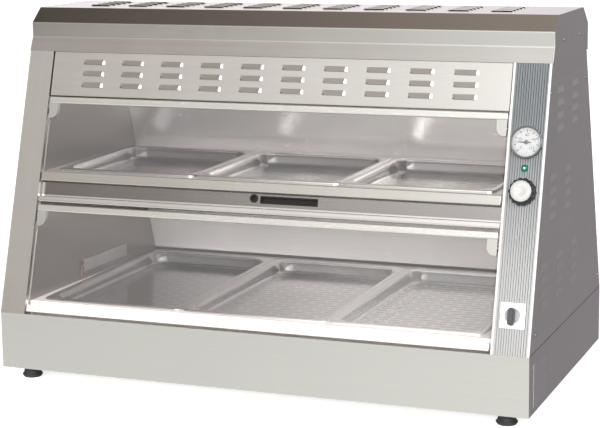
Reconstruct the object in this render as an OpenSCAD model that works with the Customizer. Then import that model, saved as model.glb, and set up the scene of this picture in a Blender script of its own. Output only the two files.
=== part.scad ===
// Heated two-tier food holding cabinet: a trapezoidal stainless body on a plinth, with a louvred hood,
// two top-hung glass flaps, six shallow pans over heater wells, and a fluted control strip.
// Origin: middle of the footprint, on the surface that the feet stand on. +X right, +Y back, +Z up.

/* [Body] */
// Width of the plinth and of the body
width = 1170; // [1160:1:1300]
// Depth of the plinth
depth = 640; // [620:1:700]
// Height of the plinth
base_h = 122; // [110:1:150]
// Height of the leaning body between plinth and hood
body_h = 551; // [545:1:600]
// How far the front leans back over the body height
front_run = 170; // [165:1:175]
// How far the rear leans forward over the body height
rear_run = 163; // [155:1:170]
// Sheet thickness of the skins
sheet = 1.5; // [1:0.1:2]

/* [Front] */
// Width of the plain post on the left
post_w = 58; // [50:1:62]
// Width of the fluted control strip on the right
strip_w = 78; // [74:1:90]
// Number of flutes on the control strip
flutes = 13; // [8:1:15]
// Louvre columns across the front
front_columns = 10; // [6:1:10]
// Louvre columns across the hood top
top_columns = 11; // [6:1:11]
// Length of one pressed louvre
louvre_l = 51; // [40:1:56]

/* [Pans] */
// Pan width, which is the short side of a full-size pan
pan_w = 325; // [300:1:326]
// Pan spacing
pan_pitch = 328; // [327:0.5:330]
// Length of a lower pan
lower_pan_l = 530; // [450:1:532]
// Length of an upper pan
upper_pan_l = 354; // [265:1:356]
// Depth of a pan under its rim
pan_h = 30; // [20:1:34]

/* [Doors] */
// Glass thickness
glass_t = 4; // [3:0.5:5]
// Depth of the door rails, front to back
rail_d = 12; // [10:0.5:13]
// Diameter of a pivot pin
pin_d = 5; // [4:0.5:5]

/* [Feet] */
// Height of a foot
foot_h = 25; // [20:1:40]

/* [Hidden] */

$fn = 48;
eps = 0.5;                       // how far a cutter runs past the face that it cuts
slip = 0.1;                      // clearance around a piece that is fixed inside another
fit = 0.08;                      // radial running clearance of a pin or shaft
steel = "gainsboro";
satin = "silver";

base_top = foot_h + base_h;
body_top = base_top + body_h;
front_angle = atan(front_run / body_h);
rear_angle = atan(rear_run / body_h);
slope_l = body_h / cos(front_angle);

// The bay between the post and the control strip
bay_left = -width / 2 + post_w;
bay_right = width / 2 - strip_w;
bay_x = (bay_left + bay_right) / 2;
bay_half = (bay_right - bay_left) / 2;
bay_draft = 0.041;               // the side walls close in by this much for each mm of depth
door_gap = 4;                    // door end to post
liner_t = 35;                    // rear wall thickness, skin to liner
liner_d = 14;                    // front edges of the walls behind the front plane
plug = [10, 60];                 // blanking plug on the rear liner
lower_deck_z = base_top + 24.5;
upper_deck_z = base_top + 295.5;
underpan_z = base_top + 241;
ceiling_z = base_top + 465;
deck_drop = 24;                  // depth of the upper deck's down-turned edge
pan_rise = 3.2;                  // rim top above its deck
lower_pan_y = -280;              // front edge of the lower pans
upper_pan_y = -197;              // front edge of the upper pans

// Places along the front slope, measured up it from the plinth
lower_door = [6, 239.5];
upper_door = [291, 476.5];
door_pivot_drop = 32;            // pivot under the top edge of its door
lower_pivot = lower_door[1] - door_pivot_drop;
upper_pivot = upper_door[1] - door_pivot_drop;
pivot_d = rail_d / 2;
top_rail_h = 14.5;
bottom_rail_h = 21;
mid_face = [246, 289];           // mid panel, bottom of the lip to its top edge
lip_h = 12;
mid_d = 13.5;                    // the mid panel's face behind the front plane
louvre_foot = 479;               // lower edge of the louvred front panel
panel_gap = 2.4;                 // from the ends of the louvred and mid panels to the posts
louvre_return = 20;              // how deep the panel's lower flange runs before it turns up to the ceiling
slot_x = 46;                     // middle of the mid panel's slot
slot_l = 142;
slot_h = 16;
slot_s = 277;

// Control strip
ctrl_x = width / 2 - strip_w / 2;
dial_s = 418;
lamp_s = 367;
knob_s = 320;
switch_s = 78;
dial_r = 32;
flute_r = 1.7;
flute_pitch = 5;
strip_t = 2;

// Hood
hood_sheet = 1.5;
hood = [[-150.6, 0], [-136, 31], [-136, 61], [-98, 92], [116, 92], [161, 57], [161, 0]];
louvre_h = 11;
louvre_rise = 4;

// Louvre places: the front panel's rows, the side's groups and the hood's rows
louvre_rows = [505, 530, 555];
front_pitch = 93;
side_rows = [[-80, 563], [50, 563], [-138, 393], [-8, 393], [-208, 226], [-78, 226], [52, 226]];
side_pitch = 25.7;
top_pitch = 92;
top_rows = [-38, -12, 14, 40, 66];

foot_at = [[-1, -285], [1, -285], [-1, 285], [1, 285]];
foot_x = 532;
stud_d = 10;

function front_y(z, d = 0) = -depth / 2 + (z - base_top) * tan(front_angle) + d / cos(front_angle);
function rear_y(z, d = 0) = depth / 2 - (z - base_top) * tan(rear_angle) - d / cos(rear_angle);
function slope_d(y, z) = (y + depth / 2) * cos(front_angle) - (z - base_top) * sin(front_angle);
function slope_s(y, z) = (y + depth / 2) * sin(front_angle) + (z - base_top) * cos(front_angle);
function rear_s(z, d) = (z - base_top + d * sin(rear_angle)) / cos(rear_angle);
function wall_half(y, z, gap) = bay_half - 1 - bay_draft * slope_d(y, z) - gap;
function pan_x(i) = bay_x + (i - 1) * pan_pitch;

// A frame on the front slope: x across, y into the cabinet, z up the slope
module on_front(x = 0, s = 0, d = 0) {
    translate([0, -depth / 2, base_top]) rotate([-front_angle, 0, 0]) translate([x, d, s]) children();
}

// A frame on the rear slope: x across, -y into the cabinet, z up the slope
module on_rear(x = 0, s = 0, d = 0) {
    translate([0, depth / 2, base_top]) rotate([rear_angle, 0, 0]) translate([x, -d, s]) children();
}

// An outline in y and z, thick along x
module plate_yz(points, x, t) {
    translate([x, 0, 0]) rotate([90, 0, 90]) linear_extrude(t) polygon(points);
}

module block(from, to) {
    translate(from) cube(to - from);
}

// A cylinder that points out of the front slope, from depth d to depth d + l
module boss(r, d, l) {
    translate([0, d, 0]) rotate([-90, 0, 0]) cylinder(r = r, h = l);
}

module round_rect(w, l, r) {
    square([w - 2 * r, l], center = true);
    square([w, l - 2 * r], center = true);
    for (sx = [-1, 1], sy = [-1, 1]) translate([sx * (w / 2 - r), sy * (l / 2 - r)]) circle(r);
}

// One pressed louvre on a sheet in the xz plane, standing out towards -y, and the slot under it
module louvre(l = louvre_l, t = 1.2) {
    difference() {
        plate_yz([[0.2, louvre_h], [0.2, 0], [-louvre_rise, 0], [-louvre_rise, 2]], -l / 2, l);
        plate_yz([[0.3, louvre_h - 2.6], [0.3, -eps], [t - louvre_rise, -eps], [t - louvre_rise, 1.4]],
            t - l / 2, l - 2 * t);
    }
}

module louvre_slot(l = louvre_l) {
    block([2 - l / 2, -0.1, 0], [l / 2 - 2, 4, louvre_h - 3]);
}

// The bay's plan at height z between two depths, clear of the side walls by gap
module bay_plan(y0, y1, z, gap) {
    polygon([[bay_x - wall_half(y0, z, gap), y0], [bay_x + wall_half(y0, z, gap), y0],
        [bay_x + wall_half(y1, z, gap), y1], [bay_x - wall_half(y1, z, gap), y1]]);
}

module base_plinth() {
    w = width / 2;
    d = depth / 2;
    color(steel) difference() {
        block([-w, -d, foot_h], [w, d, base_top]);
        block([-w + sheet, -d + sheet, foot_h - eps], [w - sheet, d - sheet, base_top - sheet]);
        block([bay_x - 495, -268, base_top - 2 * sheet], [bay_x + 485, 252, base_top + eps]);
        for (p = [capillary[2], capillary[5]]) translate([p[0], p[1], base_top - 5]) cylinder(r = 4, h = 10);
    }
}

module base_floor() {
    w = width / 2 - sheet - slip;
    d = depth / 2 - sheet - slip;
    color(satin) difference() {
        block([-w, -d, foot_h + 2], [w, d, foot_h + 2 + sheet]);
        for (x = [-360:120:360], y = [-150, 150])
            block([x - 40, y - 4, foot_h], [x + 40, y + 4, foot_h + 6]);
        for (p = foot_at)
            translate([p[0] * foot_x, p[1], foot_h]) cylinder(d = stud_d + 2 * slip, h = 10);
    }
}

// The side's outline between the front and rear skins, with a tab that goes up into the hood
side_tab = [-126, 146, 14];
function side_outline() = let (z1 = body_top - 1, z2 = body_top + side_tab[2], d = strip_t + slip)
    [[front_y(base_top, d), base_top], [front_y(z1, d), z1], [side_tab[0], z1], [side_tab[0], z2],
    [side_tab[1], z2], [side_tab[1], z1], [rear_y(z1, sheet + slip), z1],
    [rear_y(base_top, sheet + slip), base_top]];

module left_side_panel() {
    color(satin) plate_yz(side_outline(), -width / 2, sheet);
}

module right_side_panel() {
    color(satin) difference() {
        union() {
            plate_yz(side_outline(), width / 2 - sheet, sheet);
            for (c = side_rows, i = [0:3])
                translate([width / 2, c[0], c[1] + i * side_pitch - louvre_h / 2]) rotate([0, 0, 90])
                    louvre(t = 1.2, l = louvre_l);
        }
        for (c = side_rows, i = [0:3])
            translate([width / 2, c[0], c[1] + i * side_pitch - louvre_h / 2])
                rotate([0, 0, 90]) louvre_slot();
    }
}

bush_d = pin_d + 2.6;

module bush_hole(x, s) {
    on_front(x, s, pivot_d) rotate([0, 90, 0]) cylinder(d = bush_d + 2 * slip, h = 20, center = true);
}

module left_post() {
    color(satin) difference() {
        on_front() {
            block([-width / 2, 0, 0], [bay_left, sheet, slope_l - 0.2]);
            block([bay_left - sheet, 0, 0], [bay_left, liner_d, slope_l - 5]);
        }
        block([-width, -depth, 0], [width, depth, base_top]);
        bush_hole(bay_left, upper_pivot);
        bush_hole(bay_left, lower_pivot);
    }
}

module control_strip() {
    color(satin) difference() {
        on_front() {
            block([bay_right, 0, 0], [width / 2, strip_t, slope_l - 0.2]);
            block([bay_right, 0, 0], [bay_right + sheet, liner_d, slope_l - 5]);
        }
        block([-width, -depth, 0], [width, depth, base_top]);
        for (i = [0:flutes - 1])
            on_front(ctrl_x + (i - (flutes - 1) / 2) * flute_pitch, -20, -1)
                cylinder(r = flute_r, h = slope_l + 40);
        on_front(ctrl_x, dial_s) boss(27, -5, 20);
        on_front(ctrl_x, lamp_s) boss(4, -5, 20);
        on_front(ctrl_x, knob_s) boss(5, -5, 20);
        on_front(ctrl_x, switch_s) boss(8, -5, 20);
        bush_hole(bay_right, upper_pivot);
        bush_hole(bay_right, lower_pivot);
    }
}

module back_panel() {
    color(satin) difference() {
        on_rear() block([-width / 2, -sheet, 0], [width / 2, 0, slope_l + 12]);
        block([-width, -depth, 0], [width, depth, base_top]);
        on_rear(500, 60) rotate([90, 0, 0]) cylinder(d = 20 + 2 * slip, h = 10, center = true);
        for (x = [-360:90:360], i = [0:3])
            on_rear(x, 470 + i * 16) block([-25, -5, 0], [25, 5, 4]);
    }
}

module back_liner() {
    zs = [lower_deck_z + 8, ceiling_z];
    s = [for (z = zs) rear_s(z, liner_t)];
    half = [for (z = zs) wall_half(rear_y(z, liner_t), z, -sheet)];
    color(steel) on_rear(bay_x, 0, liner_t - sheet) rotate([90, 0, 0]) difference() {
        union() {
            linear_extrude(sheet)
                polygon([[-half[0], s[0]], [half[0], s[0]], [half[1], s[1]], [-half[1], s[1]]]);
            translate([plug[0], plug[1], 0]) cylinder(r = 11, h = 2 * sheet);
        }
        translate([plug[0], plug[1], 2 * sheet - 0.6]) cylinder(r = 9, h = 2);
    }
}

// A side wall of the bay: it stands on the plinth beside the deck and closes in towards the rear
module side_liner(side) {
    z0 = base_top + slip;
    d0 = slope_d(front_y(z0, liner_d), z0);
    outline = [for (p = [[front_y(z0, liner_d), z0], [front_y(ceiling_z, liner_d), ceiling_z],
        [rear_y(ceiling_z, liner_t) - 1, ceiling_z], [rear_y(z0, liner_t) - 1, z0]])
        [slope_d(p[0], p[1]) - d0, slope_s(p[0], p[1])]];
    x0 = side < 0 ? -sheet : 0;
    color(satin) on_front(bay_x + side * (bay_half - 1 - bay_draft * d0), 0, d0)
        rotate([0, 0, side * atan(bay_draft)]) plate_yz(outline, x0, sheet);
}

module left_liner() {
    side_liner(-1);
}

module right_liner() {
    side_liner(1);
}

module ceiling_liner() {
    z = ceiling_z + slip;
    color(satin) translate([0, 0, z]) linear_extrude(sheet)
        bay_plan(front_y(z, louvre_return + 1), rear_y(z, liner_t), z, -3);
}

module louvre_panel() {
    half = bay_half - panel_gap;
    color(satin) difference() {
        on_front(bay_x) {
            block([-half, 3, louvre_foot], [half, 3 + sheet, slope_l + 4]);
            block([-half, 3, louvre_foot], [half, louvre_return, louvre_foot + sheet]);
            block([-half, louvre_return - sheet, louvre_foot], [half, louvre_return, louvre_foot + liner_d]);
            for (i = [0:front_columns - 1], s = louvre_rows)
                translate([3 + (i - (front_columns - 1) / 2) * front_pitch, 3, s - louvre_h / 2]) louvre();
        }
        on_front(bay_x) for (i = [0:front_columns - 1], s = louvre_rows)
            translate([3 + (i - (front_columns - 1) / 2) * front_pitch, 3, s - louvre_h / 2]) louvre_slot();
    }
}

function hood_at(z) = [for (p = hood) [p[0], body_top + z + p[1]]];
function hood_inner() = let (t = hood_sheet) [for (p = [hood[0] + [t, -eps], hood[1] + [t, -0.3],
    hood[2] + [t, -0.6], hood[3] + [0.6, -t], hood[4] + [-0.5, -t], hood[5] + [-t, -0.6],
    hood[6] + [-t, -eps]]) [p[0], body_top + p[1]]];

module top_louvres(cut) {
    for (i = [0:top_columns - 1], y = top_rows)
        translate([bay_x + 3 + (i - (top_columns - 1) / 2) * top_pitch, y, body_top + hood[3][1]])
            rotate([-90, 0, 0]) {
                if (cut) louvre_slot(); else louvre();
            }
}

module hood_cover() {
    half = width / 2;
    color(satin) difference() {
        union() {
            plate_yz(hood_at(0), -half, 2 * half);
            top_louvres(false);
        }
        plate_yz(hood_inner(), -half - eps, 2 * half + 2 * eps);
        top_louvres(true);
    }
}

module hood_ends() {
    color(satin) for (x = [-width / 2 - hood_sheet, width / 2]) plate_yz(hood_at(0), x, hood_sheet);
}

// A deck with a rim that carries pans of length l over three wells
module deck(z, y0, y1, drop, pan_front, l) {
    difference() {
        translate([0, 0, z - drop]) linear_extrude(drop) bay_plan(y0, y1, z, 1);
        translate([0, 0, z - drop - eps]) linear_extrude(drop + eps - sheet)
            bay_plan(y0 + sheet, y1 - sheet, z, 1 + sheet);
        for (i = [0:2])
            translate([pan_x(i), pan_front + l / 2, z - 5])
                linear_extrude(10) round_rect(pan_w - 18, l - 18, 18);
    }
}

module lower_deck() {
    z = lower_deck_z;
    color(steel) difference() {
        deck(z, front_y(z, liner_d + 1.5), rear_y(z, liner_t) + 1, z - base_top, lower_pan_y, lower_pan_l);
        translate([capillary[5][0], capillary[5][1], z - 5]) cylinder(r = capillary_r + 0.3, h = 10);
    }
}

module upper_deck() {
    z = upper_deck_z;
    color(steel) deck(z, front_y(z, liner_d + 1.5), rear_y(z, liner_t) - 1, deck_drop, upper_pan_y,
        upper_pan_l);
}

module mid_panel() {
    x0 = bay_left + panel_gap;
    l = bay_right - bay_left - 2 * panel_gap;
    s0 = mid_face[0];
    s1 = mid_face[1];
    color(steel) difference() {
        on_front() {
            plate_yz([[mid_d, s1], [mid_d + sheet, s1], [mid_d + sheet, s0 + lip_h - 1],
                [3.5, s0 + lip_h - 1], [3.5, s0 + sheet], [26, s0 + sheet], [26, s0], [3, s0], [1.5, s0 + 2],
                [1.5, s0 + lip_h - 2], [3, s0 + lip_h], [mid_d, s0 + lip_h]], x0, l);
        }
        on_front(slot_x, slot_s) {
            block([-slot_l / 2 + 14, 0, -slot_h / 2], [slot_l / 2, 30, slot_h / 2]);
            translate([-slot_l / 2, 0, 2]) boss(7, 0, 30);
        }
    }
}

module shelf_underpan() {
    z = underpan_z;
    y0 = front_y(z + 30, 28);
    y1 = rear_y(upper_deck_z, liner_t) - 3;
    color(steel) difference() {
        translate([0, 0, z]) linear_extrude(40) bay_plan(y0, y1, z, 2);
        translate([0, 0, z + sheet]) linear_extrude(50) bay_plan(y0 + sheet, y1 - sheet, z, 2 + sheet);
    }
}

// A hairpin heating rod lying flat: two straight legs, a round bend, and cold ends that turn down
module hairpin(l, gap, r) {
    for (s = [-1, 1]) translate([s * gap / 2, 0, 0]) rotate([-90, 0, 0]) cylinder(r = r, h = l);
    translate([0, l, 0]) rotate_extrude(angle = 180) translate([gap / 2, 0]) circle(r);
}

module heaters(z, y, l) {
    color("dimgray") for (i = [0:2]) for (s = [-1, 1])
        translate([pan_x(i) + s * 75, y, z]) hairpin(l - 110, 90, 4);
}

upper_heater_z = underpan_z + 15;
lower_heater_z = base_top - 40;

module upper_heaters() {
    heaters(upper_heater_z, upper_pan_y + 30, upper_pan_l);
}

module lower_heaters() {
    heaters(lower_heater_z, lower_pan_y + 30, lower_pan_l);
}

// Notched strips that hold the heating rods off the floor under them
module heater_clips() {
    color("gray") for (t = [[underpan_z + sheet, upper_heater_z, upper_pan_y, upper_pan_l],
        [foot_h + 2 + sheet, lower_heater_z, lower_pan_y, lower_pan_l]]) {
        for (f = [60, t[3] - 110]) difference() {
            block([bay_x - 440, t[2] + f, t[0]], [bay_x + 440, t[2] + f + 2, t[1] + 2]);
            for (i = [0:2], s = [-1, 1], q = [-45, 45])
                translate([pan_x(i) + s * 75 + q, t[2] + f - 1, t[1]]) {
                    rotate([-90, 0, 0]) cylinder(r = 4 + slip, h = 4);
                    translate([-4 - slip, 0, 0]) cube([8 + 2 * slip, 4, 9]);
                }
        }
    }
}

bay_in = width / 2 - sheet;      // inside face of the right side panel

module terminal_block() {
    color("ivory") difference() {
        block([bay_in - 26, 150, base_top + 40], [bay_in, 230, base_top + 64]);
        for (i = [0:5])
            translate([bay_in - 14, 160 + i * 12, base_top + 50]) cylinder(d = 6, h = 20);
    }
}

module cable_gland() {
    color("black") on_rear(500, 60) rotate([-90, 0, 0]) difference() {
        union() {
            translate([0, 0, -14]) cylinder(d = 20, h = 17);
            translate([0, 0, -8]) cylinder(d = 28, h = 8 - sheet - slip, $fn = 6);
            cylinder(d = 28, h = 5, $fn = 6);
            translate([0, 0, 4]) cylinder(r1 = 12, r2 = 9, h = 7);
        }
        translate([0, 0, -20]) cylinder(d = 10, h = 40);
    }
}

guard = [-78, 190];              // front lower corner of the guard, in y and z
guard_l = 196;
guard_h = 27;
guard_out = 8;

// A frame on the inner face of a side wall: y to the rear, z up, and the bay on the other side of x
module on_wall(side, y, z) {
    d = slope_d(y, z);
    on_front(bay_x + side * (bay_half - 1 - bay_draft * d), slope_s(y, z), d)
        rotate([0, 0, side * atan(bay_draft)]) rotate([front_angle, 0, 0]) children();
}

module probe_guard() {
    color(satin) on_wall(-1, guard[0], guard[1]) difference() {
        block([0.2, 0, 0], [guard_out, guard_l, guard_h]);
        block([-1, -1, sheet], [guard_out - 1, guard_l + 1, guard_h - sheet]);
    }
}

// The thermostat's capillary: down behind the control strip, along the front of the plinth and up
// through the lower deck, where it ends in a bulb behind its guard
capillary_r = 1.2;
rise_x = -512.9;                 // where it rises through the deck, beside the left wall
capillary = [[ctrl_x, -213, 422], [ctrl_x, -236, 200], [ctrl_x, -236, 130], [ctrl_x, -300, 130],
    [rise_x, -300, 130], [rise_x, -84, 130], [rise_x, -84, 203], [rise_x, -74, 203]];

module tube_run(points, r) {
    for (i = [0:len(points) - 2]) {
        run = points[i + 1] - points[i];
        translate(points[i]) {
            sphere(r + 0.3, $fn = 24);
            rotate([0, acos(run[2] / norm(run)), atan2(run[1], run[0])])
                cylinder(r = r, h = norm(run), $fn = 24);
        }
    }
}

module thermostat_probe() {
    color("goldenrod") {
        tube_run(capillary, capillary_r);
        on_wall(-1, capillary[7][1] - 2, capillary[7][2]) translate([3.9, 0, 0]) rotate([-90, 0, 0])
            cylinder(r = 2.5, h = 90);
    }
}

// The thermometer's bulb in the upper bay, in two clips on the right wall
module thermometer_probe() {
    color("goldenrod") on_wall(1, 20, upper_deck_z + 70) {
        translate([-5, 0, 0]) rotate([-90, 0, 0]) cylinder(r = 3, h = 90);
        for (y = [12, 72]) difference() {
            block([-8.5, y, -5], [-0.2, y + 6, 5]);
            translate([-5, y - 1, 0]) rotate([-90, 0, 0]) cylinder(r = 3 + slip, h = 8);
        }
    }
}

// A black plastic liner in the mid panel's slot, and the eyelet at its end
module slot_insert() {
    color("black") on_front(slot_x, slot_s) {
        difference() {
            block([-slot_l / 2 + 14 + slip, mid_d - 1, slip - slot_h / 2],
                [slot_l / 2 - slip, mid_d + 8, slot_h / 2 - slip]);
            block([-slot_l / 2 + 17, mid_d - 2, 3 - slot_h / 2],
                [slot_l / 2 - 3, mid_d + 6, slot_h / 2 - 3]);
        }
        translate([-slot_l / 2, 0, 2]) difference() {
            union() {
                boss(7 - slip, mid_d - 1, 8);
                boss(9, mid_d - 2, 2 - slip);
            }
            boss(5, 0, mid_d + 4);
        }
    }
}

module thermometer_case() {
    color("silver") on_front(ctrl_x, dial_s) difference() {
        union() {
            boss(dial_r, -8, 8);
            boss(26.8, -1, 26);
        }
        boss(dial_r - 3, -9, 8);
        boss(24, -3, 26);
    }
}

module thermometer_dial() {
    color("white") on_front(ctrl_x, dial_s) difference() {
        boss(dial_r - 3.1, -2, 1);
        boss(1.5, -3, 4);
    }
}

module thermometer_glass() {
    color("lightcyan", 0.4) on_front(ctrl_x, dial_s) boss(dial_r - 3.1, -7, 1.5);
}

// The needle points to the left and turns on a spindle through the dial
module thermometer_needle() {
    color("black") on_front(ctrl_x, dial_s) {
        boss(1.5 - fit, -4.5, 6);
        translate([0, -3.6, 0]) rotate([90, 0, 0]) linear_extrude(0.8)
            polygon([[-24, 0], [0, -1.6], [9, -1], [9, 1], [0, 1.6]]);
    }
}

module pilot_lamp() {
    color("green") on_front(ctrl_x, lamp_s) {
        boss(4 - slip, -1, 28);
        boss(7, -2, 2);
        boss(4.5, -4.5, 3);
    }
}

module thermostat_body() {
    color("dimgray") on_front(ctrl_x, knob_s) difference() {
        block([-20, strip_t, -22], [20, strip_t + 36, 22]);
        boss(3 + fit, 0, 24);
    }
}

module thermostat_shaft() {
    color("silver") on_front(ctrl_x, knob_s) boss(3, -10, 10 + strip_t + 18);
}

module thermostat_knob() {
    color("black") on_front(ctrl_x, knob_s) difference() {
        union() {
            boss(28, -7, 6);
            boss(25, -16, 10);
            for (a = [0:15:345]) rotate([0, a, 0]) translate([24.5, -15.5, 0]) rotate([-90, 0, 0])
                cylinder(r = 1.6, h = 9);
        }
        boss(3 + slip, -11, 11);
        boss(21, -17, 3);
    }
}

module knob_cap() {
    color("silver") on_front(ctrl_x, knob_s) {
        boss(21 - slip, -18, 4 - slip);
        boss(19, -20, 3);
    }
}

module switch_body() {
    color("dimgray") on_front(ctrl_x, switch_s) difference() {
        block([-22, strip_t, -22], [22, strip_t + 44, 22]);
        boss(3.5 + fit, 0, 20);
    }
}

module switch_plate() {
    color("white") on_front(ctrl_x, switch_s) difference() {
        block([-25, -2, -25], [25, 0, 25]);
        boss(4.5, -3, 5);
    }
}

// A round base with a raised bar handle, on its own shaft
module switch_lever() {
    color("dimgray") on_front(ctrl_x, switch_s) {
        boss(3.5, -3, strip_t + 15);
        boss(15, -8, 5.7);
        block([-6.5, -22, -20], [6.5, -7, 15]);
    }
}

module hinge_bushes() {
    color("dimgray") for (side = [-1, 1], s = [upper_pivot, lower_pivot])
        on_front(side < 0 ? bay_left : bay_right, s, pivot_d) rotate([0, side * 90, 0]) difference() {
            union() {
                translate([0, 0, -2]) cylinder(d = bush_d, h = 12);
                translate([0, 0, -2]) cylinder(d = bush_d + 3, h = 2 - slip);
            }
            translate([0, 0, -3]) cylinder(d = pin_d + 2 * fit, h = 14);
        }
}

// Doors: each is a glass between two rails, with a rounded hinge plate at each top corner
door_left = bay_left + door_gap;
door_right = bay_right - door_gap;
plate_w = 21;
plate_h = 33;
pin_grip = 14;                   // how far a pin goes into its plate
glass_d = (rail_d - glass_t) / 2;

// Outline of a hinge plate from its outer edge inwards, in x and along the slope
module hinge_outline(grow = 0) {
    r = plate_h / 2;
    intersection() {
        translate([0, -plate_h - grow]) square([plate_w + grow, plate_h + grow]);
        union() {
            translate([0, -plate_h - grow]) square([plate_w - r, plate_h + grow]);
            translate([plate_w - r, -r]) circle(r + grow);
            translate([plate_w - r - 1, -r]) square([r + 1 + grow, r]);
        }
    }
}

module at_hinge_corner(side, s1) {
    translate([side < 0 ? door_left : door_right, rail_d - 1.5, s1 - top_rail_h])
        rotate([90, 0, 0]) mirror([side < 0 ? 0 : 1, 0, 0]) children();
}

module door_glass(range) {
    color("lightcyan", 0.35) on_front() difference() {
        block([door_left + 1, glass_d, range[0] + 5], [door_right - 1, glass_d + glass_t, range[1] - 5]);
        for (side = [-1, 1]) at_hinge_corner(side, range[1])
            translate([-5, 0, -5]) linear_extrude(20) {
                translate([5, 0]) hinge_outline(0.3);
                translate([0, -plate_h - 0.3]) square([10, plate_h + 0.3]);
            }
    }
}

module rail(s0, s1, slot0, slot1) {
    color(steel) on_front() difference() {
        plate_yz([[1.5, s0], [0, s0 + 1.5], [0, s1 - 1.5], [1.5, s1], [rail_d, s1], [rail_d, s0]],
            door_left, door_right - door_left);
        block([door_left - 1, glass_d - slip, slot0], [door_right + 1, glass_d + glass_t + slip, slot1]);
    }
}

module top_rail(range) {
    rail(range[1] - top_rail_h, range[1], range[1] - top_rail_h - eps, range[1] - 4.9);
}

module bottom_rail(range, h) {
    rail(range[0], range[0] + h, range[0] + 4.9, range[0] + h + eps);
}

module hinge_plates(range) {
    s = range[1] - door_pivot_drop;
    color(steel) on_front() difference() {
        for (side = [-1, 1]) at_hinge_corner(side, range[1]) linear_extrude(rail_d - 3)
            translate([0, -slip]) hinge_outline();
        for (x = [door_left, door_right])
            translate([x, pivot_d, s]) rotate([0, 90, 0])
                cylinder(d = pin_d + 2 * slip, h = 2 * pin_grip + 2, center = true);
    }
}

module door_pins(range) {
    color("silver") for (side = [-1, 1])
        on_front(side < 0 ? door_left : door_right, range[1] - door_pivot_drop, pivot_d)
            rotate([0, side * 90, 0]) translate([0, 0, -pin_grip])
                cylinder(d = pin_d, h = pin_grip + door_gap + 9);
}

module upper_door_glass() {
    door_glass(upper_door);
}

module upper_door_top_rail() {
    top_rail(upper_door);
}

module upper_door_bottom_rail() {
    bottom_rail(upper_door, bottom_rail_h);
}

module upper_door_hinge_plates() {
    hinge_plates(upper_door);
}

module upper_door_pins() {
    door_pins(upper_door);
}

module lower_door_glass() {
    door_glass(lower_door);
}

module lower_door_top_rail() {
    top_rail(lower_door);
}

module lower_door_bottom_rail() {
    bottom_rail(lower_door, 15);
}

module lower_door_hinge_plates() {
    hinge_plates(lower_door);
}

module lower_door_pins() {
    door_pins(lower_door);
}

// A pan by its front left corner on deck z: flat flange with a turned-down edge, and a round-cornered well
module pan(i, y, z, l) {
    wall = 1.2;
    rim = 12;
    color(steel) translate([pan_x(i), y + l / 2, z + pan_rise]) difference() {
        union() {
            translate([0, 0, 0.2 - pan_rise]) linear_extrude(pan_rise - 0.2) round_rect(pan_w, l, 14);
            translate([0, 0, -pan_h]) linear_extrude(pan_h) round_rect(pan_w - 2 * rim, l - 2 * rim, 40);
        }
        translate([0, 0, -pan_rise]) linear_extrude(pan_rise - wall) difference() {
            round_rect(pan_w - 2 * wall, l - 2 * wall, 14 - wall);
            round_rect(pan_w - 2 * rim, l - 2 * rim, 40);
        }
        translate([0, 0, wall - pan_h]) linear_extrude(pan_h)
            round_rect(pan_w - 2 * rim - 2 * wall, l - 2 * rim - 2 * wall, 40 - wall);
    }
}

module upper_pan_left() {
    pan(0, upper_pan_y, upper_deck_z, upper_pan_l);
}

module upper_pan_centre() {
    pan(1, upper_pan_y, upper_deck_z, upper_pan_l);
}

module upper_pan_right() {
    pan(2, upper_pan_y, upper_deck_z, upper_pan_l);
}

module lower_pan_left() {
    pan(0, lower_pan_y, lower_deck_z, lower_pan_l);
}

module lower_pan_centre() {
    pan(1, lower_pan_y, lower_deck_z, lower_pan_l);
}

module lower_pan_right() {
    pan(2, lower_pan_y, lower_deck_z, lower_pan_l);
}

module feet() {
    color("black") for (p = foot_at) translate([p[0] * foot_x, p[1], 0]) difference() {
        union() {
            cylinder(r1 = 19, r2 = 22, h = 4);
            translate([0, 0, 4]) cylinder(r = 22, h = 3);
            translate([0, 0, 7]) cylinder(r1 = 20, r2 = 15, h = foot_h - 7);
        }
        translate([0, 0, 10]) cylinder(d = stud_d + 2 * slip, h = foot_h);
    }
}

module foot_studs() {
    color("silver") for (p = foot_at) translate([p[0] * foot_x, p[1], 0]) {
        translate([0, 0, 10]) cylinder(d = stud_d, h = foot_h + 15);
        translate([0, 0, foot_h + 2 + sheet + slip]) cylinder(d = 19, h = 8, $fn = 6);
    }
}

module screw() {
    cylinder(r1 = 4, r2 = 3.2, h = 1.6);
}

side_screws = [[-158, 640], [146, 640], [294, 180], [-270, 180]];
end_screws = [[-56, 737], [84, 737]];

// The visible heads of the screws that hold the skins
module panel_screws() {
    color("silver") {
        for (side = [-1, 1]) {
            for (p = side_screws)
                translate([side * width / 2, p[0], p[1]]) rotate([0, side * 90, 0]) screw();
            for (p = end_screws)
                translate([side * (width / 2 + hood_sheet), p[0], p[1]]) rotate([0, side * 90, 0]) screw();
        }
        for (x = [-560, 0, 560], s = [20, 300, 550]) on_rear(x, s) rotate([-90, 0, 0]) screw();
    }
}

module rating_plate() {
    color("silver") block([width / 2, -285, 38], [width / 2 + 0.8, -185, 124]);
}

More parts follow.
